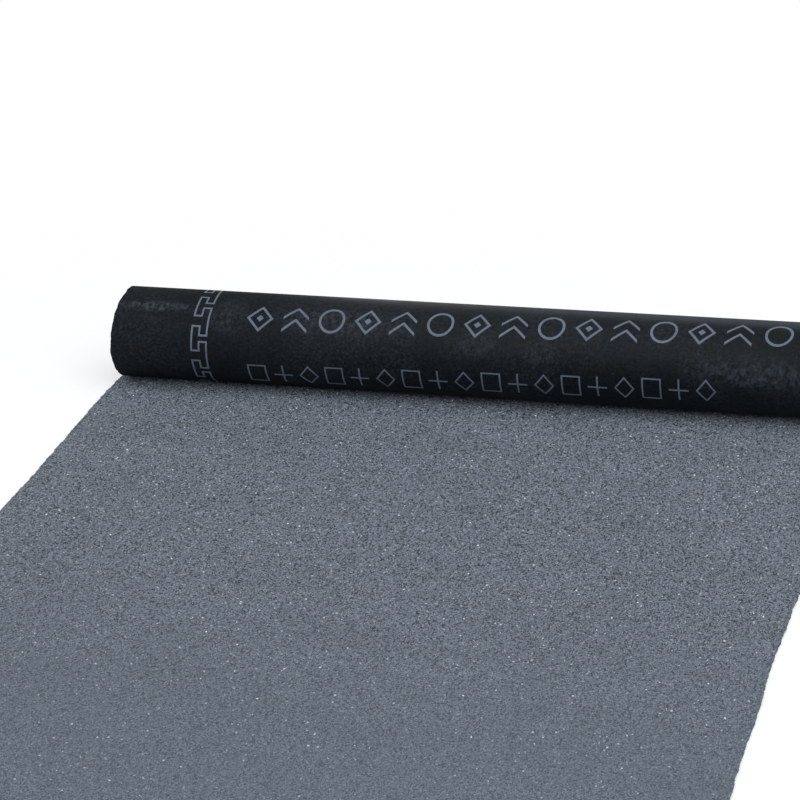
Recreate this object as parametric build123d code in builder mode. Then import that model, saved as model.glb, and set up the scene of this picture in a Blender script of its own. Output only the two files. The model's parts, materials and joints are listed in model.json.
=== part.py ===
# A partly unrolled roll of mineral-surfaced roofing felt, in millimetres.
# One sheet of felt lies flat on the ground and winds up into a coil at its far end.
# X runs along the coil, the flat stretch runs towards -Y, and +Z is up.
# The origin is on the ground, in the middle of the whole object's footprint.

import os
from math import pi

from build123d import *

# Driving dimensions of the sheet
sheet_width = 1000.0
sheet_thickness = 3.0
laid_length = 1650.0  # from the cut end to the line under the coil's middle

# Driving dimensions of the coil
coil_radius = 64.0  # of the outermost half turn, which rises from the ground
bore_radius = 24.5
winding_gap = 0.15  # air between two turns

# The line between turns, as it shows on the two ends of the coil
groove_width = 1.0  # the air gap and the granules that stand back beside it
groove_depth = 2.0

# Each turn is two half circles, and the sheet moves out by one pitch in a turn.
# The rear halves share one centre and the front halves another, half a pitch higher.
turn_pitch = sheet_thickness + winding_gap
rear_centre_height = coil_radius
front_centre_height = coil_radius + turn_pitch / 2
axis_height = (rear_centre_height + front_centre_height) / 2
coil_top = 2 * coil_radius

# The footprint reaches from the cut end to the back of the coil
coil_y = (laid_length - coil_radius) / 2
cut_end_y = coil_y - laid_length

# As many half turns as fit between the outside and the bore
half_turns = int((coil_radius - sheet_thickness - bore_radius) / (turn_pitch / 2)) + 1

# The line between turns is the outer face of every half turn from the third one on
lines = half_turns - 2
first_line_radius = coil_radius - turn_pitch
last_line_radius = first_line_radius - (lines - 1) * turn_pitch / 2


def half_circle(line, extra_radius=0.0):
    """One half circle of the line between turns, numbered from the outside."""
    radius = first_line_radius - line * turn_pitch / 2 + extra_radius
    if line % 2 == 0:
        CenterArc((coil_y, rear_centre_height), radius, -90, 180)
    else:
        CenterArc((coil_y, front_centre_height), radius, 90, 180)


# The line between turns ends below the bore after an even number of half circles
if lines % 2 == 0:
    line_end = front_centre_height - last_line_radius
    line_end_outside = line_end - groove_width
else:
    line_end = rear_centre_height + last_line_radius
    line_end_outside = line_end + groove_width

# The groove along that line, as a flat shape
with BuildSketch() as groove:
    with BuildLine():
        for line in range(lines):
            half_circle(line)
            half_circle(line, groove_width)
        Line((coil_y, turn_pitch), (coil_y, turn_pitch - groove_width))
        Line((coil_y, line_end), (coil_y, line_end_outside))
    make_face()

# The whole felt: its outline seen from the side, pulled out to the sheet's width
with BuildPart() as roofing_felt:
    with BuildSketch(Plane.YZ) as outline:
        with BuildLine():
            Polyline(
                (coil_y, 0),
                (cut_end_y, 0),
                (cut_end_y, sheet_thickness),
                (coil_y, sheet_thickness),
                (coil_y, turn_pitch),
            )
            CenterArc((coil_y, rear_centre_height), coil_radius, -90, 180)
            CenterArc((coil_y, front_centre_height), coil_top - front_centre_height, 90, 180)
        make_face()
    extrude(amount=sheet_width / 2, both=True)

    # The turns show on both ends of the coil
    for side in (-1, 1):
        with BuildSketch(Plane.YZ.offset(side * sheet_width / 2)):
            add(groove.sketch)
        extrude(amount=-side * groove_depth, mode=Mode.SUBTRACT)

    # The open middle that the felt was wound around
    with Locations(Plane.YZ.shift_origin((0, coil_y, axis_height))):
        Hole(bore_radius)

roofing_felt.part.label = "roofing_felt"

# The length of felt, counted along the middle of its thickness
wound_length = 0.0
for half_turn in range(half_turns):
    wound_length += pi * (coil_radius - sheet_thickness / 2 - half_turn * turn_pitch / 2)
print(f"turns in the coil {half_turns / 2}")
print(f"length of felt {laid_length + wound_length:.0f} mm, of it wound {wound_length:.0f} mm")

os.makedirs("parts", exist_ok=True)
export_step(roofing_felt.part, "parts/roofing_felt.step")
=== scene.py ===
# A partly unrolled roll of mineral-surfaced roofing felt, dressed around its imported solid.
# The felt is made flat and printed at its full length. It is then rolled up along a spiral
# path, so its turns, its print and its granules lie as they do on the real one.

import json
import math

import bmesh
import bpy
from mathutils import Matrix, Vector

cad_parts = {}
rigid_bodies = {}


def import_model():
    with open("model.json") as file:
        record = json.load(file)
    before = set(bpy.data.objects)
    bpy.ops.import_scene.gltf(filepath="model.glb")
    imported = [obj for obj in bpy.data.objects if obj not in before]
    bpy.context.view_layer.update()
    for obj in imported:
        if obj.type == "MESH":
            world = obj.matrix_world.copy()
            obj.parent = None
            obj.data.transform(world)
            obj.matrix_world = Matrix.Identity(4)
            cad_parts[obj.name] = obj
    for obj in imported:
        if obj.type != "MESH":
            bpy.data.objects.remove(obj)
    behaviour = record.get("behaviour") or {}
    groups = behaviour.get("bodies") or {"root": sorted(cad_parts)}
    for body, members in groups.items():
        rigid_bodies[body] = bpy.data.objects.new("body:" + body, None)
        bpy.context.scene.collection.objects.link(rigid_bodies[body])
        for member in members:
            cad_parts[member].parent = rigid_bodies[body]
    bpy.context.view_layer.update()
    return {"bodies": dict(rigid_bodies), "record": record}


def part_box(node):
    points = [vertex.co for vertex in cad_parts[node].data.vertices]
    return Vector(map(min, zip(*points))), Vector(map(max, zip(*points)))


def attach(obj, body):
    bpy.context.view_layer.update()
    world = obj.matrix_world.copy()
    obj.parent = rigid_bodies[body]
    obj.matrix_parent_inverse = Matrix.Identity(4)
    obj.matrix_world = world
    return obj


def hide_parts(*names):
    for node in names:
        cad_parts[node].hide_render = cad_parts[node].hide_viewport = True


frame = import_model()

# Sizes read from the frame, in metres
mounts = {mount["name"]: mount for mount in frame["record"]["mounts"]}
solid_low, solid_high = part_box("roofing_felt")
felt_width = solid_high.x - solid_low.x
coil_radius = solid_high.z / 2
coil_y = mounts["coil_bore"]["pos_m"][1]
bore_radius = mounts["coil_bore"]["dims"]["r_mm"] / 1000
laid_length = coil_y - solid_low.y

# The felt's own layers, from the film's outer face up to the tops of the granules
felt_thickness = 0.0030
winding_gap = 0.00015
ink_thickness = 0.0001
ink_grip = 0.00003  # how deep the ink sinks into the film
granule_height = 0.0005
floor_clearance = 0.0001  # keeps the film and the floor apart where they touch

# Each turn is two half circles, and the felt moves out by one pitch in a turn
turn_pitch = felt_thickness + winding_gap
half_turns = int((coil_radius - felt_thickness - bore_radius) / (turn_pitch / 2)) + 1
length_step = 0.004  # between two rows of corners along the felt
edge_lines = (0.001, 0.004, 0.015, 0.045)  # further lines of corners, this far inside each edge
tiny = 0.00001  # places closer together than this are one place


def middle_radius(half_turn):
    """Radius of a half turn at the middle of the felt's thickness, counted from the outside."""
    return coil_radius - felt_thickness / 2 - half_turn * turn_pitch / 2


def along_front(angle):
    """How far along the flat felt a line on the front of the coil lies, given its angle."""
    return laid_length + math.pi * middle_radius(0) + (math.pi / 2 - angle) * middle_radius(1)


wound_length = sum(math.pi * middle_radius(half_turn) for half_turn in range(half_turns))
felt_length = laid_length + wound_length

# Heights in the flat felt, counted from the middle of its thickness
film_face = -felt_thickness / 2 + ink_thickness
granule_bed = felt_thickness / 2 - granule_height

# The printed border, measured across the felt from its left edge and along it
fret_left, fret_middle, fret_right = 0.1150, 0.1255, 0.1360
fret_stroke = 0.0025
fret_period = 0.0474
fret_right_run = 0.0388
fret_turn_back = 0.0121

# Where the border and the two rows of plain marks lie, as angles above the coil's foremost line
border_angle = math.radians(12)
upper_row_angle = math.radians(41)
lower_row_angle = math.radians(-34.8)

# The rows of marks: where the first mark stands, counted from the felt's left edge, the pitch
# from mark to mark, and how often the set of three comes back
upper_row_start = 0.207
upper_row_pitch = 0.0497
upper_row_sets = 5
lower_row_start = 0.205
lower_row_pitch = 0.0360
lower_row_sets = 6
row_slope = math.tan(math.radians(1.6))
print_repeat = 8 * fret_period
print_margin = 0.0005  # bare film between the print and the felt's cut end

# Worn places on the film, each with its place across the felt, its angle on the coil's front,
# its reach across and along, and its strength
worn_places = [
    (-0.440, 56, 0.080, 0.010, 0.50),
    (-0.338, 48, 0.035, 0.035, 0.30),
    (-0.190, 48, 0.110, 0.025, 0.24),
    (0.010, 27, 0.035, 0.020, 0.24),
    (0.095, 24, 0.025, 0.020, 0.20),
    (0.390, 13, 0.120, 0.026, 0.34),
]
# A pale dusty-looking band along the top of the coil, towards its right end: a painted reflection of
# the bright surroundings on the coil's rim
painted_top_sheen = (0.420, 99, 0.550, 0.024, 0.62)

# How far the felt wanders sideways as it is laid and rolled: at a length past the line where
# the coil stands on the floor, and so far to the right
wander = [
    (-1.050, 0.0000),
    (-0.950, -0.0014),
    (-0.860, -0.0006),
    (-0.770, -0.0024),
    (-0.670, -0.0004),
    (-0.565, 0.0035),
    (-0.490, 0.0044),
    (-0.250, -0.0020),
    (-0.020, -0.0085),
    (0.206, 0.0065),
    (0.250, 0.0012),
    (0.300, -0.0020),
    (0.360, 0.0010),
    (0.470, 0.0060),
    (1.600, 0.0040),
    (2.800, 0.0080),
]
widest_wander = 0.02
edge_reach = 0.12  # how far in from an edge the felt wanders more than in its middle
middle_share = 0.4

# How unevenly the felt lies and is cut
drift_reach = 0.0030
rough_cut_reach = 0.0030
wave_height = 0.0016
lift_off = 0.04  # where the felt begins to rise, before the line under the coil's middle
wave_fade = 0.2

# The proud granules, which are small crumbs of slate
crumb_shapes = 5
crumb_size = 0.0017
crumbs_on_face = 34000  # on each square metre
crumbs_on_rim = 500000  # on each square metre
rim_width = 0.0012
rim_palest = 0.4


# Small helpers for work in Blender's object and edit modes

def deselect_all():
    """Object mode, with nothing selected."""
    if bpy.context.mode != "OBJECT":
        bpy.ops.object.mode_set(mode="OBJECT")
    bpy.ops.object.select_all(action="DESELECT")


def pick(piece):
    """Makes one piece the selected and active one."""
    deselect_all()
    piece.select_set(True)
    bpy.context.view_layer.objects.active = piece


def new_piece(name):
    """Names the primitive that was just added."""
    piece = bpy.context.object
    piece.name = name
    piece.data.name = name
    return piece


def edit(piece):
    """Opens a piece in edit mode."""
    pick(piece)
    bpy.ops.object.mode_set(mode="EDIT")


def end_edit():
    bpy.ops.object.mode_set(mode="OBJECT")


def select_where(piece, kind, chosen):
    """Selects the faces, edges or verts of a piece in edit mode that chosen() accepts."""
    modes = {"faces": "FACE", "edges": "EDGE", "verts": "VERT"}
    bpy.ops.mesh.select_mode(type=modes[kind])
    bpy.ops.mesh.select_all(action="DESELECT")
    shape = bmesh.from_edit_mesh(piece.data)
    for element in getattr(shape, kind):
        if chosen(element):
            element.select_set(True)
    bmesh.update_edit_mesh(piece.data)


def cut_all(point, normal):
    """Cuts every face of the piece in edit mode that a plane crosses."""
    bpy.ops.mesh.select_all(action="SELECT")
    bpy.ops.mesh.bisect(plane_co=point, plane_no=normal)


def middle_at(point):
    """A test that accepts the edge whose middle lies at a point."""
    return lambda edge: ((edge.verts[0].co + edge.verts[1].co) / 2 - point).length < tiny


def apply_all(piece):
    """Applies a piece's modifiers in order."""
    pick(piece)
    for modifier in list(piece.modifiers):
        bpy.ops.object.modifier_apply(modifier=modifier.name)


def apply_place(piece):
    """Puts a piece's place, turn and scale into its mesh."""
    pick(piece)
    bpy.ops.object.transform_apply(location=True, rotation=True, scale=True)


def join(pieces, name):
    """Makes several pieces one."""
    deselect_all()
    for piece in pieces:
        piece.select_set(True)
    bpy.context.view_layer.objects.active = pieces[0]
    bpy.ops.object.join()
    return new_piece(name)


# Small helpers for node trees

def feed(tree, socket, value):
    """Links another node's socket to an input, or sets the input's own value."""
    if isinstance(value, bpy.types.NodeSocket):
        tree.links.new(value, socket)
    else:
        socket.default_value = value


def add_node(tree, kind, inputs=None, **settings):
    """Adds a node, sets its properties and feeds its inputs."""
    node = tree.nodes.new(kind)
    for name, value in settings.items():
        setattr(node, name, value)
    for name, value in (inputs or {}).items():
        feed(tree, node.inputs[name], value)
    return node


def math_node(tree, operation, first, second=0.0, clamp=False):
    inputs = {0: first, 1: second}
    return add_node(tree, "ShaderNodeMath", inputs, operation=operation, use_clamp=clamp).outputs[0]


def vector_node(tree, operation, first, second):
    inputs = {0: first, 1: second}
    return add_node(tree, "ShaderNodeVectorMath", inputs, operation=operation).outputs[0]


def length_of(tree, vector):
    node = add_node(tree, "ShaderNodeVectorMath", {0: vector}, operation="LENGTH")
    return node.outputs["Value"]


def parts_of(tree, vector):
    """The X, Y and Z sockets of a vector."""
    return add_node(tree, "ShaderNodeSeparateXYZ", {"Vector": vector}).outputs


def stretched(tree, place, scale, turn=0.0):
    """A place drawn out along the axes, so that a pattern on it becomes longer one way."""
    inputs = {"Vector": place, "Rotation": (0, 0, turn), "Scale": scale}
    return add_node(tree, "ShaderNodeMapping", inputs).outputs[0]


def mix_colour(tree, factor, first, second, blend_type="MIX"):
    node = add_node(tree, "ShaderNodeMix", data_type="RGBA", blend_type=blend_type)
    inputs = {socket.identifier: socket for socket in node.inputs}
    feed(tree, inputs["Factor_Float"], factor)
    feed(tree, inputs["A_Color"], first)
    feed(tree, inputs["B_Color"], second)
    return next(socket for socket in node.outputs if socket.identifier == "Result_Color")


def bump(tree, height, distance, strength):
    inputs = {"Height": height, "Distance": distance, "Strength": strength}
    return add_node(tree, "ShaderNodeBump", inputs).outputs["Normal"]


def map_range(tree, value, low, high, new_low=0.0, new_high=1.0, smooth=False):
    kind = "SMOOTHSTEP" if smooth else "LINEAR"
    inputs = {"Value": value, "From Min": low, "From Max": high, "To Min": new_low, "To Max": new_high}
    return add_node(tree, "ShaderNodeMapRange", inputs, interpolation_type=kind).outputs["Result"]


def noise(tree, place, scale, detail=2.0, roughness=0.5):
    inputs = {"Vector": place, "Scale": scale, "Detail": detail, "Roughness": roughness}
    return add_node(tree, "ShaderNodeTexNoise", inputs).outputs["Fac"]


def new_group(name, inputs, outputs):
    """A shader node group with named inputs and outputs: {name: (socket kind, value)}."""
    tree = bpy.data.node_groups.new(name, "ShaderNodeTree")
    for socket_name, (kind, value) in inputs.items():
        socket = tree.interface.new_socket(socket_name, in_out="INPUT", socket_type=kind)
        if value is not None:
            socket.default_value = value
    for socket_name, kind in outputs.items():
        tree.interface.new_socket(socket_name, in_out="OUTPUT", socket_type=kind)
    start = tree.nodes.new("NodeGroupInput")
    end = tree.nodes.new("NodeGroupOutput")
    return tree, start.outputs, end.inputs


def new_material(name):
    """A material with its node tree and the inputs of its Principled BSDF."""
    material = bpy.data.materials.new(name)
    material.use_nodes = True
    tree = material.node_tree
    return material, tree, tree.nodes["Principled BSDF"].inputs


def use_group(tree, group, inputs):
    """Places a node group in a material and gives back its outputs."""
    return add_node(tree, "ShaderNodeGroup", inputs, node_tree=group).outputs


def colour(red, green, blue):
    """The linear values that shaders take, for a colour as a screen shows it, from 0 to 255."""
    def linear(value):
        value = value / 255
        return value / 12.92 if value <= 0.04045 else ((value + 0.055) / 1.055) ** 2.4
    return (linear(red), linear(green), linear(blue), 1.0)


slate_dark = colour(40, 47, 56)
slate_dust = colour(97, 106, 117)
slate_mid = colour(138, 149, 163)
slate_light = colour(190, 198, 207)
# The palest slate is near white: a painted glint, for light caught on crystal faces
slate_painted_glint = colour(246, 248, 250)
bitumen_black = colour(20, 22, 25)
film_black = colour(17, 24, 29)
film_brown = colour(23, 24, 25)
film_dust = colour(84, 91, 101)
ink_colour = colour(89, 99, 113)


# Effects that the finishes are made up from, each a node group

def make_tone_drift():
    """Slow changes of tone across the felt, as a factor around one."""
    tree, given, out = new_group(
        "tone_drift",
        {"Place": ("NodeSocketVector", None), "Amount": ("NodeSocketFloat", 0.1)},
        {"Factor": "NodeSocketFloat"},
    )
    patches = noise(tree, given["Place"], 9.0, 3.0)
    bands = noise(tree, stretched(tree, given["Place"], (1.2, 14.0, 1.2)), 1.0, 2.0)
    both = math_node(tree, "ADD", patches, bands)
    centred = math_node(tree, "SUBTRACT", both, 1.0)
    scaled = math_node(tree, "MULTIPLY", centred, given["Amount"])
    tree.links.new(math_node(tree, "ADD", scaled, 1.0), out["Factor"])
    return tree


def make_dust():
    """Pale mottling and small specks that lie all over the film, as one mask."""
    tree, given, out = new_group(
        "dust",
        {
            "Place": ("NodeSocketVector", None),
            "Scuffs": ("NodeSocketFloat", 0.5),
            "Specks": ("NodeSocketFloat", 0.5),
        },
        {"Mask": "NodeSocketFloat"},
    )
    place = given["Place"]
    zones = map_range(tree, noise(tree, place, 7.0, 3.0, 0.6), 0.34, 0.66, smooth=True)
    cloud = map_range(tree, noise(tree, place, 260.0, 4.0, 0.7), 0.45, 0.8)
    scuffs = math_node(tree, "MULTIPLY", math_node(tree, "MULTIPLY", zones, cloud), given["Scuffs"])
    cells = add_node(tree, "ShaderNodeTexVoronoi", {"Vector": place, "Scale": 200.0})
    chosen = add_node(tree, "ShaderNodeSeparateColor", {"Color": cells.outputs["Color"]}).outputs
    reach = map_range(tree, chosen[1], 0.0, 1.0, 0.04, 0.17)
    dots = math_node(tree, "LESS_THAN", cells.outputs["Distance"], reach)
    dots = math_node(tree, "MULTIPLY", dots, map_range(tree, chosen[0], 0.90, 1.0))
    specks = math_node(tree, "MULTIPLY", dots, given["Specks"])
    tree.links.new(math_node(tree, "ADD", scuffs, specks, clamp=True), out["Mask"])
    return tree


def make_wear_and_sheen_oval():
    """A pale oval on the film, used for the worn places and for the painted reflection along the
    coil's top: it fades out, broken up by the mottles it is given.
    """
    tree, given, out = new_group(
        "worn_place",
        {
            "Place": ("NodeSocketVector", None),
            "Middle": ("NodeSocketVector", None),
            "Reach": ("NodeSocketVector", None),
            "Mottles": ("NodeSocketFloat", 0.5),
            "Strength": ("NodeSocketFloat", 0.3),
        },
        {"Mask": "NodeSocketFloat"},
    )
    away = vector_node(tree, "SUBTRACT", given["Place"], given["Middle"])
    share = vector_node(tree, "DIVIDE", away, given["Reach"])
    oval = map_range(tree, length_of(tree, share), 0.2, 1.15, 1.0, 0.0, smooth=True)
    broken = math_node(tree, "MULTIPLY", oval, given["Mottles"])
    tree.links.new(math_node(tree, "MULTIPLY", broken, given["Strength"]), out["Mask"])
    return tree


def make_granule_cells():
    """Pressed-in mineral granules: a tone for each one, the gaps and bare spots, and the height."""
    tree, given, out = new_group(
        "granule_cells",
        {
            "Place": ("NodeSocketVector", None),
            "Size": ("NodeSocketFloat", 0.0012),
            "Bare": ("NodeSocketFloat", 0.1),
        },
        {"Tone": "NodeSocketFloat", "Gap": "NodeSocketFloat", "Height": "NodeSocketFloat"},
    )
    scale = math_node(tree, "DIVIDE", 1.0, given["Size"])
    grid = {"Vector": given["Place"], "Scale": scale}
    cells = add_node(tree, "ShaderNodeTexVoronoi", grid).outputs
    tone, chance = add_node(tree, "ShaderNodeSeparateColor", {"Color": cells["Color"]}).outputs[:2]
    bare = math_node(tree, "LESS_THAN", chance, given["Bare"])
    walls = add_node(tree, "ShaderNodeTexVoronoi", grid, feature="DISTANCE_TO_EDGE")
    edges = walls.outputs["Distance"]
    gap = map_range(tree, edges, 0.0, 0.13, 1.0, 0.0, smooth=True)
    gap = math_node(tree, "MAXIMUM", gap, bare)
    dome = map_range(tree, edges, 0.0, 0.35, smooth=True)
    lift = math_node(tree, "MULTIPLY", dome, map_range(tree, tone, 0.0, 1.0, 0.5, 1.0))
    lift = math_node(tree, "MULTIPLY", lift, math_node(tree, "SUBTRACT", 1.0, gap))
    tree.links.new(tone, out["Tone"])
    tree.links.new(gap, out["Gap"])
    tree.links.new(lift, out["Height"])
    return tree


def make_odd_granules():
    """The few granules that stand out: pits where one has fallen out, and very pale ones, which are
    painted glints.
    """
    tree, given, out = new_group(
        "odd_granules",
        {
            "Place": ("NodeSocketVector", None),
            "Size": ("NodeSocketFloat", 0.002),
            "Pits": ("NodeSocketFloat", 0.04),
            "Sparks": ("NodeSocketFloat", 0.01),
        },
        {"Pit": "NodeSocketFloat", "Spark": "NodeSocketFloat"},
    )
    scale = math_node(tree, "DIVIDE", 1.0, given["Size"])
    cells = add_node(tree, "ShaderNodeTexVoronoi", {"Vector": given["Place"], "Scale": scale})
    chance = add_node(tree, "ShaderNodeSeparateColor", {"Color": cells.outputs["Color"]}).outputs[0]
    inside = map_range(tree, cells.outputs["Distance"], 0.40, 0.60, 1.0, 0.0)
    pit = math_node(tree, "LESS_THAN", chance, given["Pits"])
    painted_glint_mask = math_node(tree, "GREATER_THAN", chance, math_node(tree, "SUBTRACT", 1.0, given["Sparks"]))
    tree.links.new(math_node(tree, "MULTIPLY", inside, pit), out["Pit"])
    tree.links.new(math_node(tree, "MULTIPLY", inside, painted_glint_mask), out["Spark"])
    return tree


def make_settled_dust():
    """Fine dust that evens out the granules' tones, none at the coil and most at the cut end."""
    tree, given, out = new_group(
        "settled_dust",
        {"Place": ("NodeSocketVector", None), "Colour": ("NodeSocketColor", None)},
        {"Colour": "NodeSocketColor"},
    )
    along = parts_of(tree, given["Place"])["Y"]
    amount = map_range(tree, along, coil_y - 0.45, coil_y - 1.1, 0.0, 0.5, smooth=True)
    tree.links.new(mix_colour(tree, amount, given["Colour"], slate_dust), out["Colour"])
    return tree


tone_drift = make_tone_drift()
settled_dust = make_settled_dust()
dust = make_dust()
worn_place = make_wear_and_sheen_oval()
granule_cells = make_granule_cells()
odd_granules = make_odd_granules()


def slate_ramp(tree, tone):
    """Turns a granule's random tone into a slate colour: half mid grey, the rest darker or paler, and
    at the very top a near-white painted glint.
    """
    ramp = tree.nodes.new("ShaderNodeValToRGB")
    tree.links.new(tone, ramp.inputs["Fac"])
    stops = ramp.color_ramp.elements
    stops[0].position = 0.0
    stops[0].color = slate_dark
    stops[1].position = 1.0
    stops[1].color = slate_painted_glint
    for position, value in ((0.34, slate_mid), (0.8, slate_mid), (0.98, slate_light)):
        stop = stops.new(position)
        stop.color = value
    return ramp.outputs["Color"]


def make_granule_face():
    """The felt's upper side: fine slate granules pressed into bitumen."""
    material, tree, surface = new_material("granule_face")
    place = tree.nodes.new("ShaderNodeTexCoord").outputs["Object"]
    waves = add_node(tree, "ShaderNodeTexNoise", {"Vector": place, "Scale": 900.0, "Detail": 0.0})
    centred = vector_node(tree, "SUBTRACT", waves.outputs["Color"], (0.5, 0.5, 0.5))
    ragged = vector_node(tree, "MULTIPLY", centred, (0.0015, 0.0015, 0.0015))
    drawn = stretched(tree, vector_node(tree, "ADD", place, ragged), (1.15, 0.72, 1.0))
    coarse = use_group(tree, granule_cells, {"Place": drawn, "Size": 0.0017, "Bare": 0.17})
    fine = use_group(tree, granule_cells, {"Place": drawn, "Size": 0.0010, "Bare": 0.08})
    coarse_tone = slate_ramp(tree, coarse["Tone"])
    coloured = mix_colour(tree, 0.4, coarse_tone, slate_ramp(tree, fine["Tone"]))
    # The gaps between granules show black bitumen, and their dark also stands in for the shade the
    # granules cast into them: partly painted shade
    bitumen_and_shade_gaps = math_node(tree, "MULTIPLY", coarse["Gap"], 0.9)
    with_gaps_and_shade = mix_colour(tree, bitumen_and_shade_gaps, coloured, bitumen_black)
    # Pits show the bitumen; the rare very pale granules are painted glints
    rare = {"Place": drawn, "Size": 0.0025, "Pits": 0.07, "Sparks": 0.0025}
    odd = use_group(tree, odd_granules, rare)
    with_pits = mix_colour(tree, odd["Pit"], with_gaps_and_shade, bitumen_black)
    with_odd = mix_colour(tree, odd["Spark"], with_pits, slate_painted_glint)
    drift = use_group(tree, tone_drift, {"Place": place, "Amount": 0.22})["Factor"]
    toned = mix_colour(tree, 1.0, with_odd, drift, "MULTIPLY")
    final = use_group(tree, settled_dust, {"Place": place, "Colour": toned})["Colour"]
    tree.links.new(final, surface["Base Color"])
    fine_height = math_node(tree, "MULTIPLY", fine["Height"], 0.5)
    height = math_node(tree, "ADD", coarse["Height"], fine_height)
    tree.links.new(bump(tree, height, 0.0010, 0.9), surface["Normal"])
    surface["Roughness"].default_value = 0.85
    surface["Specular IOR Level"].default_value = 0.3
    return material


def make_granule_stone():
    """The proud granules, each with its own tone."""
    material, tree, surface = new_material("granule_stone")
    tone = add_node(tree, "ShaderNodeAttribute", attribute_name="tone").outputs["Fac"]
    place = tree.nodes.new("ShaderNodeTexCoord").outputs["Object"]
    drift = use_group(tree, tone_drift, {"Place": place, "Amount": 0.22})["Factor"]
    mottle = map_range(tree, noise(tree, place, 1800.0, 2.0), 0.3, 0.7, 0.60, 0.86)
    # The palest stones skip the mottling and stay near white, as painted glints
    mottle_and_glint = math_node(tree, "MAXIMUM", mottle, map_range(tree, tone, 0.975, 0.99))
    both = math_node(tree, "MULTIPLY", drift, mottle_and_glint)
    toned = mix_colour(tree, 1.0, slate_ramp(tree, tone), both, "MULTIPLY")
    final = use_group(tree, settled_dust, {"Place": place, "Colour": toned})["Colour"]
    tree.links.new(final, surface["Base Color"])
    tree.links.new(map_range(tree, tone, 0.8, 1.0, 0.75, 0.4), surface["Roughness"])
    surface["Specular IOR Level"].default_value = 0.4
    return material


def flat_place(tree):
    """Where a point lay when the felt was flat."""
    return add_node(tree, "ShaderNodeAttribute", attribute_name="flat_place").outputs["Vector"]


def add_wear_and_sheen(tree, marks, place, spot, mottles):
    """Adds one pale oval to the film's marks, as worn_places and the painted reflection along the
    coil's top give it.
    """
    across, angle, wide, long, strength = spot
    inputs = {
        "Place": place,
        "Middle": (across, along_front(math.radians(angle)), 0),
        "Reach": (wide, long, 1),
        "Mottles": mottles,
        "Strength": strength,
    }
    return math_node(tree, "ADD", marks, use_group(tree, worn_place, inputs)["Mask"], clamp=True)


def make_film():
    """The thin black film on the felt's back, dusty, with a painted reflection along the top of the
    coil, and duller towards its left end.
    """
    material, tree, surface = new_material("film")
    place = flat_place(tree)
    marks = use_group(tree, dust, {"Place": place, "Scuffs": 0.25, "Specks": 0.5})["Mask"]
    mottles = map_range(tree, noise(tree, place, 130.0, 4.0, 0.7), 0.42, 0.72)
    slanted = stretched(tree, place, (420.0, 90.0, 90.0), turn=0.3)
    strokes = map_range(tree, noise(tree, slanted, 1.0, 2.0), 0.48, 0.85)
    faint_strokes = math_node(tree, "MULTIPLY", strokes, 0.55)
    strong_mottles = math_node(tree, "MULTIPLY", mottles, 0.9)
    broken = math_node(tree, "ADD", strong_mottles, faint_strokes, clamp=True)
    for spot in worn_places:
        marks = add_wear_and_sheen(tree, marks, place, spot, broken)
    # The painted reflection along the coil's top, broken up only a little
    top_sheen_mottles = math_node(tree, "ADD", 0.55, math_node(tree, "MULTIPLY", mottles, 0.3))
    marks = add_wear_and_sheen(tree, marks, place, painted_top_sheen, top_sheen_mottles)
    drift = use_group(tree, tone_drift, {"Place": place, "Amount": 0.5})["Factor"]
    tint = map_range(tree, noise(tree, place, 80.0, 5.0, 0.7), 0.36, 0.64)
    grime = map_range(tree, noise(tree, place, 330.0, 5.0, 0.75), 0.3, 0.7, 0.4, 1.6)
    shade = mix_colour(tree, 1.0, mix_colour(tree, tint, film_black, film_brown), grime, "MULTIPLY")
    base = mix_colour(tree, 1.0, shade, drift, "MULTIPLY")
    tree.links.new(mix_colour(tree, marks, base, film_dust), surface["Base Color"])
    plain = map_range(tree, noise(tree, place, 60.0, 3.0), 0.3, 0.7, 0.33, 0.43)
    dull_end = map_range(tree, parts_of(tree, place)["X"], -0.34, -0.12, 0.38, 0.0, smooth=True)
    rough = math_node(tree, "ADD", math_node(tree, "ADD", plain, marks), dull_end)
    tree.links.new(math_node(tree, "MINIMUM", rough, 0.9), surface["Roughness"])
    grain = noise(tree, place, 700.0, 3.0, 0.6)
    imprint = noise(tree, place, 120.0, 2.0)
    height = math_node(tree, "ADD", math_node(tree, "MULTIPLY", grain, 0.2), imprint)
    tree.links.new(bump(tree, height, 0.0006, 0.5), surface["Normal"])
    surface["Specular IOR Level"].default_value = 0.05
    return material


def make_cut_edge():
    """The cut side of the felt: black bitumen with a paler fleece line along its middle."""
    material, tree, surface = new_material("cut_edge")
    place = flat_place(tree)
    off_middle = math_node(tree, "ABSOLUTE", parts_of(tree, place)["Z"])
    fleece = map_range(tree, off_middle, 0.0001, 0.00045, 1.0, 0.0, smooth=True)
    fibres = map_range(tree, noise(tree, place, 900.0, 3.0, 0.7), 0.35, 0.75)
    mask = math_node(tree, "MULTIPLY", fleece, fibres)
    tree.links.new(mix_colour(tree, mask, bitumen_black, film_dust), surface["Base Color"])
    torn = noise(tree, place, 500.0, 3.0, 0.6)
    tree.links.new(bump(tree, torn, 0.0006, 0.8), surface["Normal"])
    surface["Roughness"].default_value = 0.7
    surface["Specular IOR Level"].default_value = 0.3
    return material


def make_ink():
    """Pale slate-blue ink, worn thin in places so that the film shows through."""
    material, tree, surface = new_material("ink")
    place = flat_place(tree)
    worn = map_range(tree, noise(tree, place, 420.0, 4.0, 0.7), 0.52, 0.8, 0.0, 0.6)
    patchy = map_range(tree, noise(tree, place, 30.0, 2.0), 0.35, 0.65, 0.85, 1.05)
    shade = mix_colour(tree, 1.0, ink_colour, patchy, "MULTIPLY")
    tree.links.new(mix_colour(tree, worn, shade, film_black), surface["Base Color"])
    surface["Roughness"].default_value = 0.6
    surface["Specular IOR Level"].default_value = 0.25
    return material


granule_face = make_granule_face()
granule_stone = make_granule_stone()
film = make_film()
cut_edge = make_cut_edge()
ink = make_ink()


# The path that the felt is rolled along

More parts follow.
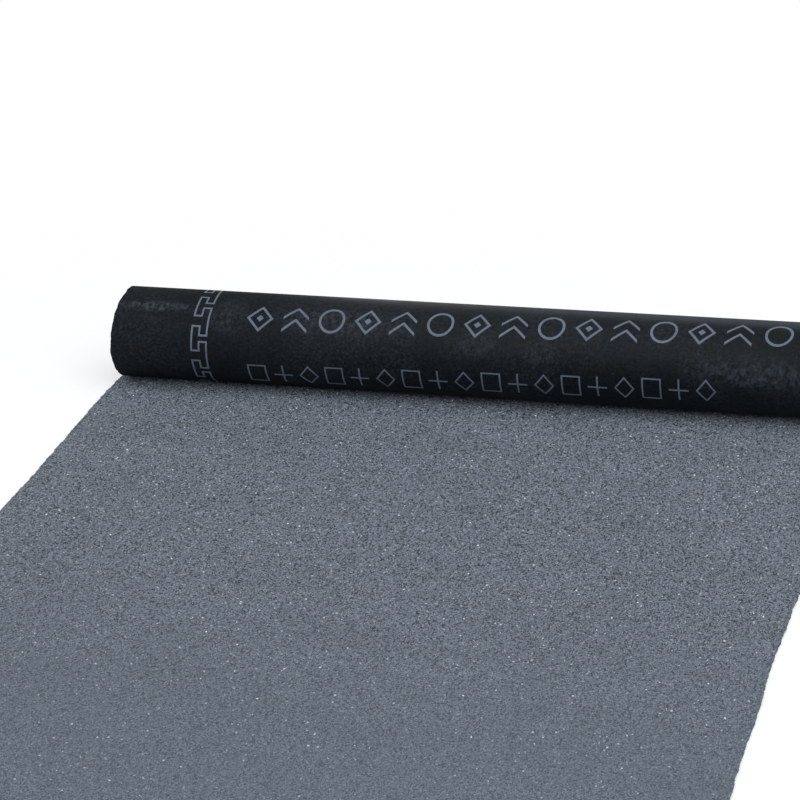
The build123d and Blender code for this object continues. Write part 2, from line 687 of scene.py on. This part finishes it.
def make_winding_path():
    """A line along the ground that then winds inward, half circle by half circle."""
    height = felt_thickness / 2
    straight_steps = 30
    points = []
    for step in range(straight_steps):
        points.append((coil_y - laid_length * (1 - step / straight_steps), height))
    arc_steps = 48
    for half_turn in range(half_turns):
        radius = middle_radius(half_turn)
        side = 1 if half_turn % 2 == 0 else -1
        centre = coil_radius if side == 1 else coil_radius + turn_pitch / 2
        for step in range(arc_steps):
            angle = math.pi * step / arc_steps
            along = coil_y + side * radius * math.sin(angle)
            points.append((along, centre - side * radius * math.cos(angle)))
    points.append((coil_y, centre + side * radius))
    curve = bpy.data.curves.new("winding_path", "CURVE")
    curve.dimensions = "3D"
    curve.twist_mode = "MINIMUM"
    line = curve.splines.new("POLY")
    line.points.add(len(points) - 1)
    for point, (y, z) in zip(line.points, points):
        point.co = (0.0, y, z, 1.0)
        point.tilt = math.pi / 2
    path = bpy.data.objects.new("winding_path", curve)
    bpy.context.scene.collection.objects.link(path)
    return path


winding_path = make_winding_path()


# How unevenly the felt lies

def cloud_texture(name, size):
    texture = bpy.data.textures.new(name, "CLOUDS")
    texture.noise_scale = size
    texture.noise_depth = 1
    return texture


slow_drift = cloud_texture("slow_drift", size=0.13)
ground_waves = cloud_texture("ground_waves", size=0.24)
ragged_edge = cloud_texture("ragged_edge", size=0.011)


def laid_weight(length):
    """One on the flat stretch, and nothing where the felt begins to rise into the coil."""
    return min(1.0, max(0.0, (laid_length - lift_off - length) / wave_fade))


def wandered(length):
    """How far to the right the felt lies at a length from its cut end, as a smooth line."""
    past = length - laid_length
    if past <= wander[0][0]:
        return wander[0][1]
    for number in range(1, len(wander)):
        start, first = wander[number - 1]
        end, last = wander[number]
        if past > end:
            continue
        before, first_before = wander[max(0, number - 2)]
        after, last_after = wander[min(len(wander) - 1, number + 1)]
        leaving = (last - first_before) / (end - before) * (end - start)
        arriving = (last_after - first) / (after - start) * (end - start)
        share = (past - start) / (end - start)
        rise = share * share * (3 - 2 * share)
        bend = share * (1 - share) * ((1 - share) * leaving - share * arriving)
        return first + (last - first) * rise + bend
    return wander[-1][1]


def edge_share(across):
    """The felt's edges wander in full, and its middle and its print less."""
    nearness = min(1.0, max(0.0, (abs(across) - felt_width / 2 + edge_reach) / edge_reach))
    return middle_share + (1 - middle_share) * nearness


def push(piece, name, axis, reach, group="", texture=None, around=0.0):
    """Pushes a piece's corners along one axis, by a group's weights, a texture or both."""
    modifier = piece.modifiers.new(name, "DISPLACE")
    modifier.direction = axis
    modifier.strength = reach
    modifier.mid_level = around
    modifier.vertex_group = group
    if texture:
        modifier.texture = texture
        modifier.texture_coords = "LOCAL"


def roll_up(piece):
    """Lays a flat piece unevenly, as felt lies, and rolls it up along the winding path."""
    cut_side = felt_width / 2 - edge_lines[0] / 2
    laid = piece.vertex_groups.new(name="laid")
    sideways = piece.vertex_groups.new(name="sideways")
    edges = piece.vertex_groups.new(name="edges")
    for corner in piece.data.vertices:
        if abs(corner.co.x) > cut_side:
            edges.add([corner.index], 1.0, "REPLACE")
        laid.add([corner.index], laid_weight(corner.co.y), "REPLACE")
        shift = wandered(corner.co.y) * edge_share(corner.co.x)
        sideways.add([corner.index], 0.5 + shift / widest_wander, "REPLACE")
    place = piece.data.attributes.new("flat_place", "FLOAT_VECTOR", "POINT")
    for value, corner in zip(place.data, piece.data.vertices):
        value.vector = corner.co

    # A weight is never negative, so all goes to the right by its weight, and then back as one
    push(piece, "wander", "X", widest_wander, group="sideways")
    push(piece, "back_to_middle", "X", -widest_wander / 2)
    push(piece, "slow_drift", "X", drift_reach, texture=slow_drift, around=0.5)
    push(piece, "rough_cut", "X", rough_cut_reach, group="edges", texture=ragged_edge, around=0.5)
    push(piece, "ground_waves", "Z", wave_height, group="laid", texture=ground_waves)
    rolled = piece.modifiers.new("rolled", "CURVE")
    rolled.object = winding_path
    rolled.deform_axis = "POS_Y"
    apply_all(piece)
    piece.vertex_groups.clear()


# The felt itself

def make_felt():
    """One sheet at its full length, with film below, granules above and cut edges all round."""
    deselect_all()
    bpy.ops.mesh.primitive_grid_add(
        x_subdivisions=10,
        y_subdivisions=round(felt_length / length_step),
        size=1,
        location=(0, felt_length / 2, granule_bed),
    )
    felt = new_piece("felt_sheet")
    felt.scale = (felt_width, felt_length, 1)
    apply_place(felt)
    edit(felt)
    for inset in edge_lines:
        for side in (-1, 1):
            cut_all((side * (felt_width / 2 - inset), 0, 0), (1, 0, 0))
    end_edit()
    for material in (granule_face, film, cut_edge):
        felt.data.materials.append(material)
    layer = felt.modifiers.new("bitumen", "SOLIDIFY")
    layer.thickness = granule_bed - film_face
    layer.offset = -1
    layer.material_offset = 1
    layer.material_offset_rim = 2
    apply_all(felt)
    roll_up(felt)
    pick(felt)
    bpy.ops.object.shade_smooth_by_angle(angle=math.radians(40))
    return felt


# The print on the film

def pull_stroke(name, corners, stroke):
    """A flat line of ink: a square pulled edge first from corner to corner, one open at the end."""
    deselect_all()
    bpy.ops.mesh.primitive_plane_add(size=stroke, location=(*corners[0], 0))
    piece = new_piece(name)
    apply_place(piece)
    edit(piece)
    tip = Vector((*corners[0], 0))
    for corner in corners[1:]:
        target = Vector((*corner, 0))
        way = (target - tip).normalized()
        run = (target - tip).length - stroke
        steps = max(1, math.ceil(run / length_step)) if way.y else 1
        pulls = [run / steps] * steps
        if corner != corners[-1]:
            pulls.append(stroke)
        select_where(piece, "edges", middle_at(tip + way * stroke / 2))
        for pull in pulls:
            bpy.ops.mesh.extrude_region_move(TRANSFORM_OT_translate={"value": way * pull})
        tip = target
    bpy.ops.mesh.select_all(action="SELECT")
    bpy.ops.mesh.normals_make_consistent(inside=False)
    end_edit()
    return piece


def repeat(piece, count, offset):
    """Copies a piece in a row."""
    row = piece.modifiers.new("row", "ARRAY")
    row.count = count
    row.use_relative_offset = False
    row.use_constant_offset = True
    row.constant_offset_displace = offset
    row.use_merge_vertices = True
    row.merge_threshold = tiny


def lay_ink(piece):
    """Trims a print at the felt's cut end, thickens it and rolls it up as the felt is rolled."""
    apply_all(piece)
    edit(piece)
    bpy.ops.mesh.select_all(action="SELECT")
    bpy.ops.mesh.bisect(plane_co=(0, print_margin, 0), plane_no=(0, 1, 0), clear_inner=True)
    select_where(piece, "faces", lambda face: face.normal.z < 0)
    bpy.ops.mesh.flip_normals()
    end_edit()
    layer = piece.modifiers.new("ink", "SOLIDIFY")
    layer.thickness = ink_thickness + ink_grip
    layer.offset = 1
    apply_all(piece)
    piece.data.materials.append(ink)
    roll_up(piece)


def make_border():
    """The fret along the felt: one period of its path, repeated up to the end of the outer turn."""
    left, middle, right = (x - felt_width / 2 for x in (fret_left, fret_middle, fret_right))
    back = fret_right_run - fret_turn_back
    far = fret_period + fret_turn_back
    path = [
        (right, 0),
        (right, fret_right_run),
        (middle, fret_right_run),
        (middle, back),
        (left, back),
        (left, far),
        (middle, far),
        (middle, fret_period),
        (right, fret_period),
    ]
    border = pull_stroke("printed_border", path, fret_stroke)
    start = along_front(border_angle)
    before = int(start / fret_period)
    after = int((along_front(-math.pi / 2) - start) / fret_period)
    border.location = (0, start - before * fret_period, -felt_thickness / 2)
    apply_place(border)
    repeat(border, before + after, (0, fret_period, 0))
    lay_ink(border)
    return border


def make_frame(name, corners, width, height, stroke, turn=0.0):
    """A hollow shape with so many corners, as wide and as high as given."""
    deselect_all()
    bpy.ops.mesh.primitive_circle_add(
        vertices=corners, radius=0.5, fill_type="NGON", rotation=(0, 0, turn)
    )
    mark = new_piece(name)
    apply_place(mark)
    mark.scale = (width / mark.dimensions.x, height / mark.dimensions.y, 1)
    apply_place(mark)
    edit(mark)
    bpy.ops.mesh.select_all(action="SELECT")
    bpy.ops.mesh.inset(thickness=stroke)
    bpy.ops.mesh.delete(type="FACE")
    end_edit()
    return mark


def make_dot(name, corners, size):
    """A small solid shape for the middle of a frame."""
    deselect_all()
    bpy.ops.mesh.primitive_circle_add(vertices=corners, radius=size / 2, fill_type="NGON")
    return new_piece(name)


def make_chevrons(name, width, height, stroke):
    """Two chevrons, one above the other."""
    rise = height * 0.42
    pitch = height * 0.5
    lowered = height * 0.04
    upright_stroke = stroke * 1.25
    deselect_all()
    bpy.ops.mesh.primitive_plane_add(size=1)
    mark = new_piece(name)
    mark.scale = (width, upright_stroke, 1)
    apply_place(mark)
    edit(mark)
    cut_all((0, 0, 0), (1, 0, 0))
    select_where(mark, "verts", lambda corner: abs(corner.co.x) < tiny)
    bpy.ops.transform.translate(value=(0, -rise, 0))
    bpy.ops.mesh.select_all(action="SELECT")
    bpy.ops.transform.translate(value=(0, -lowered, 0))
    bpy.ops.mesh.duplicate_move(TRANSFORM_OT_translate={"value": (0, pitch, 0)})
    end_edit()
    return mark


def make_cross(name, width, height, stroke):
    """A plain cross of two bars."""
    deselect_all()
    bpy.ops.mesh.primitive_plane_add(size=stroke)
    mark = new_piece(name)
    edit(mark)
    for way, length in ((Vector((1, 0, 0)), width), (Vector((0, 1, 0)), height)):
        for side in (-1, 1):
            select_where(mark, "edges", middle_at(way * side * stroke / 2))
            pull = way * side * (length - stroke) / 2
            bpy.ops.mesh.extrude_region_move(TRANSFORM_OT_translate={"value": pull})
    end_edit()
    return mark


def make_row(name, marks, sets, pitch, start, angle):
    """A row in which a set of marks comes back, and which climbs a little from left to right."""
    line = along_front(angle)
    for number, mark in enumerate(marks):
        across = start - felt_width / 2 + number * pitch
        mark.location = (across, line - (across + felt_width / 2) * row_slope, -felt_thickness / 2)
        apply_place(mark)
    row = join(marks, name)
    step = pitch * len(marks)
    repeat(row, sets, (step, -step * row_slope, 0))
    apply_all(row)
    return row


def make_marks():
    """Two rows of plain shapes, repeated along the felt where the printing roller repeats."""
    diamond = make_frame("diamond", corners=4, width=0.037, height=0.038, stroke=0.0032)
    core = make_dot("core", corners=4, size=0.010)
    ring = make_frame("ring", corners=28, width=0.036, height=0.037, stroke=0.0034)
    square = make_frame(
        "square", corners=4, width=0.026, height=0.032, stroke=0.0021, turn=math.pi / 4
    )
    small_diamond = make_frame("small_diamond", corners=4, width=0.027, height=0.034, stroke=0.0021)
    cored_diamond = join([diamond, core], "cored_diamond")
    chevrons = make_chevrons("chevrons", width=0.035, height=0.036, stroke=0.0034)
    upper_set = [cored_diamond, chevrons, ring]
    upper = make_row(
        "upper_row", upper_set, upper_row_sets, upper_row_pitch, upper_row_start, upper_row_angle
    )
    cross = make_cross("cross", width=0.026, height=0.032, stroke=0.0023)
    lower_set = [square, cross, small_diamond]
    lower = make_row(
        "lower_row", lower_set, lower_row_sets, lower_row_pitch, lower_row_start, lower_row_angle
    )
    marks = join([upper, lower], "printed_marks")

    # Lines of corners across both rows, so that the shapes can bend with the coil
    before_rows = 0.06
    past_rows = 0.02
    first_line = along_front(upper_row_angle) - before_rows
    last_line = along_front(lower_row_angle) + past_rows
    edit(marks)
    for line in range(math.ceil((last_line - first_line) / length_step)):
        cut_all((0, first_line + line * length_step, 0), (0, 1, 0))
    bpy.ops.mesh.select_all(action="SELECT")
    bpy.ops.mesh.normals_make_consistent(inside=False)
    end_edit()
    before = int(along_front(0) / print_repeat)
    marks.location = (0, -before * print_repeat, 0)
    apply_place(marks)
    repeat(marks, before + 1, (0, print_repeat, 0))
    lay_ink(marks)
    return marks


# The granules that stand proud

def make_crumbs():
    """A few crumbs of different shape, kept out of the picture in a collection."""
    proportions = (1.0, 0.78, 0.55)
    uneven = crumb_size * 0.22
    crumbs = bpy.data.collections.new("crumbs")
    for number in range(crumb_shapes):
        deselect_all()
        bpy.ops.mesh.primitive_cube_add(size=crumb_size)
        crumb = new_piece(f"crumb_{number}")
        edit(crumb)
        bpy.ops.transform.resize(value=proportions)
        bpy.ops.transform.vertex_random(offset=uneven, seed=number + 3)
        end_edit()
        crumb.data.materials.append(granule_stone)
        crumbs.objects.link(crumb)
        bpy.context.scene.collection.objects.unlink(crumb)
    return crumbs


def random_value(tree, kind, low, high, seed):
    """A random number or vector for each point or crumb, between two limits."""
    node = add_node(tree, "FunctionNodeRandomValue", {"Seed": seed}, data_type=kind)
    limits = [socket for socket in node.inputs if socket.enabled and socket.name in ("Min", "Max")]
    for socket, value in zip(limits, (low, high)):
        socket.default_value = value
    return next(socket for socket in node.outputs if socket.enabled)


def make_scatter(name, felt, crumbs, per_square_metre, seed, measure, low, high, palest=1.0):
    """Strews crumbs over the granule face where a measure of the flat place lies between limits."""
    steepest = 0.5  # how far a crumb is tipped, in radians
    smallest = 0.55  # shares of a crumb's size
    largest = 1.25
    tree = bpy.data.node_groups.new(name, "GeometryNodeTree")
    tree.interface.new_socket("Geometry", in_out="INPUT", socket_type="NodeSocketGeometry")
    tree.interface.new_socket("Geometry", in_out="OUTPUT", socket_type="NodeSocketGeometry")
    end = tree.nodes.new("NodeGroupOutput")
    source = add_node(tree, "GeometryNodeObjectInfo", {"Object": felt}, transform_space="ORIGINAL")
    place = add_node(
        tree, "GeometryNodeInputNamedAttribute", {"Name": "flat_place"}, data_type="FLOAT_VECTOR"
    )
    parts = parts_of(tree, place.outputs["Attribute"])
    measures = {"off_middle": math_node(tree, "ABSOLUTE", parts["X"]), "along": parts["Y"]}
    on_face = add_node(tree, "GeometryNodeMaterialSelection", {"Material": granule_face})
    chosen = on_face.outputs["Selection"]
    for operation, limit in (("GREATER_THAN", low), ("LESS_THAN", high)):
        test = add_node(
            tree,
            "FunctionNodeCompare",
            {"A": measures[measure], "B": limit},
            data_type="FLOAT",
            operation=operation,
        )
        both = {0: chosen, 1: test.outputs["Result"]}
        chosen = add_node(tree, "FunctionNodeBooleanMath", both, operation="AND").outputs[0]
    points = add_node(
        tree,
        "GeometryNodeDistributePointsOnFaces",
        {
            "Mesh": source.outputs["Geometry"],
            "Selection": chosen,
            "Density": per_square_metre,
            "Seed": seed,
        },
    )
    shapes = add_node(
        tree,
        "GeometryNodeCollectionInfo",
        {"Collection": crumbs, "Separate Children": True, "Reset Children": True},
    )
    least_turned = (-steepest, -steepest, 0.0)
    most_turned = (steepest, steepest, math.tau)
    placed = add_node(
        tree,
        "GeometryNodeInstanceOnPoints",
        {
            "Points": points.outputs["Points"],
            "Instance": shapes.outputs[0],
            "Pick Instance": True,
            "Rotation": random_value(tree, "FLOAT_VECTOR", least_turned, most_turned, seed + 1),
            "Scale": random_value(tree, "FLOAT", smallest, largest, seed + 2),
        },
    )
    tone = random_value(tree, "FLOAT", 0.0, palest, seed + 3)
    named = add_node(
        tree,
        "GeometryNodeStoreNamedAttribute",
        {"Geometry": placed.outputs["Instances"], "Name": "tone", "Value": tone},
        data_type="FLOAT",
        domain="INSTANCE",
    )
    real = add_node(tree, "GeometryNodeRealizeInstances", {"Geometry": named.outputs["Geometry"]})
    tree.links.new(real.outputs["Geometry"], end.inputs["Geometry"])
    deselect_all()
    bpy.ops.mesh.primitive_plane_add(size=0.01)
    piece = new_piece(name)
    modifier = piece.modifiers.new("scatter", "NODES")
    modifier.node_group = tree
    apply_all(piece)
    return piece


def make_granules(felt):
    """Proud granules in four stretches of the flat felt, and along its two long edges."""
    crumbs = make_crumbs()
    stretches = 4
    stretch = laid_length / stretches
    granules = []
    for number in range(stretches):
        name = f"granules_{number + 1}"
        start = stretch * number
        seed = 10 * number + 1
        granules.append(
            make_scatter(name, felt, crumbs, crumbs_on_face, seed, "along", start, start + stretch)
        )
    rim_start = felt_width / 2 - rim_width
    granules.append(
        make_scatter(
            "granules_edge",
            felt,
            crumbs,
            crumbs_on_rim,
            seed=51,
            measure="off_middle",
            low=rim_start,
            high=felt_width,
            palest=rim_palest,
        )
    )
    for crumb in list(crumbs.objects):
        bpy.data.objects.remove(crumb)
    bpy.data.collections.remove(crumbs)
    return granules


felt_sheet = make_felt()
printed_border = make_border()
printed_marks = make_marks()
granules = make_granules(felt_sheet)
bpy.data.objects.remove(winding_path)

body = next(iter(frame["bodies"]))
for piece, slot in [
    (felt_sheet, "felt"),
    (printed_border, "print"),
    (printed_marks, "print"),
    *[(piece, "granules") for piece in granules],
]:
    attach(piece, body)
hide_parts("roofing_felt")


# The floor, the light and the camera

def seen_or_mirrored(tree):
    """One for what is seen, directly or mirrored, and nothing for the light that falls on the felt."""
    rays = tree.nodes.new("ShaderNodeLightPath").outputs
    mirrored = math_node(tree, "MAXIMUM", rays["Is Glossy Ray"], rays["Is Transmission Ray"])
    return math_node(tree, "MAXIMUM", rays["Is Camera Ray"], mirrored)


def make_floor():
    """A pale floor that fades to plain white away from the felt, and keeps the felt's shadow."""
    fade_start = 0.6
    fade_end = 1.9
    deselect_all()
    bpy.ops.mesh.primitive_plane_add(size=60, location=(0, 0, -floor_clearance))
    floor = new_piece("floor")
    material, tree, surface = new_material("floor")
    surface["Base Color"].default_value = (0.93, 0.93, 0.93, 1)
    surface["Roughness"].default_value = 1.0
    surface["Specular IOR Level"].default_value = 0.0
    white = add_node(tree, "ShaderNodeEmission", {"Color": (1, 1, 1, 1), "Strength": 1.0})
    place = tree.nodes.new("ShaderNodeTexCoord").outputs["Object"]
    away = map_range(tree, length_of(tree, place), fade_start, fade_end, 0.35, 1.0, smooth=True)
    share = math_node(tree, "MULTIPLY", away, seen_or_mirrored(tree))
    lit = tree.nodes["Principled BSDF"].outputs[0]
    mix = add_node(tree, "ShaderNodeMixShader", {0: share, 1: lit, 2: white.outputs[0]})
    tree.links.new(mix.outputs[0], tree.nodes["Material Output"].inputs["Surface"])
    floor.data.materials.append(material)


def make_world():
    """A soft sky all round, stronger in front, which shows as plain white behind the felt."""
    front_strength = 0.74
    back_strength = 0.46
    world = bpy.data.worlds.new("studio")
    bpy.context.scene.world = world
    world.use_nodes = True
    tree = world.node_tree
    tree.nodes.clear()
    out = tree.nodes.new("ShaderNodeOutputWorld")
    direction = tree.nodes.new("ShaderNodeTexCoord").outputs["Generated"]
    towards_back = parts_of(tree, direction)["Y"]
    strength = map_range(tree, towards_back, -0.6, 0.8, front_strength, back_strength, smooth=True)
    cool_sky = {"Color": (0.93, 0.965, 1.0, 1), "Strength": strength}
    sky = add_node(tree, "ShaderNodeBackground", cool_sky).outputs[0]
    white = add_node(tree, "ShaderNodeBackground", {"Color": (1, 1, 1, 1), "Strength": 1.0}).outputs[0]
    mix = add_node(tree, "ShaderNodeMixShader", {0: seen_or_mirrored(tree), 1: sky, 2: white})
    tree.links.new(mix.outputs[0], out.inputs["Surface"])


def make_softbox(name, place, target, size, power):
    """A square area light that faces its target."""
    lamp = bpy.data.lights.new(name, "AREA")
    lamp.shape = "SQUARE"
    lamp.size = size
    lamp.energy = power
    holder = bpy.data.objects.new(name, lamp)
    bpy.context.scene.collection.objects.link(holder)
    holder.location = place
    holder.rotation_euler = (Vector(target) - Vector(place)).to_track_quat("-Z", "Y").to_euler()


def make_camera():
    """The photograph's view, fitted to the coil's outline and the felt's edges."""
    place = Vector((0.8955, coil_y - 3.6688, 1.4420))
    turned_left = math.radians(15.37)
    looking_down = math.radians(20.91)
    leaning = math.radians(-2.0)
    lens = bpy.data.cameras.new("camera")
    lens.sensor_width = 36
    lens.lens = 135
    camera = bpy.data.objects.new("camera", lens)
    bpy.context.scene.collection.objects.link(camera)
    turn = Matrix.Rotation(turned_left, 4, "Z") @ Matrix.Rotation(math.pi / 2 - looking_down, 4, "X")
    camera.matrix_world = Matrix.Translation(place) @ turn @ Matrix.Rotation(leaning, 4, "Z")
    bpy.context.scene.camera = camera


make_floor()
make_world()
make_softbox("front_sky", place=(0.9, -1.8, 4.0), target=(0.0, 0.3, 0.0), size=7.0, power=249)
make_camera()
bpy.context.scene.view_settings.view_transform = "Standard"
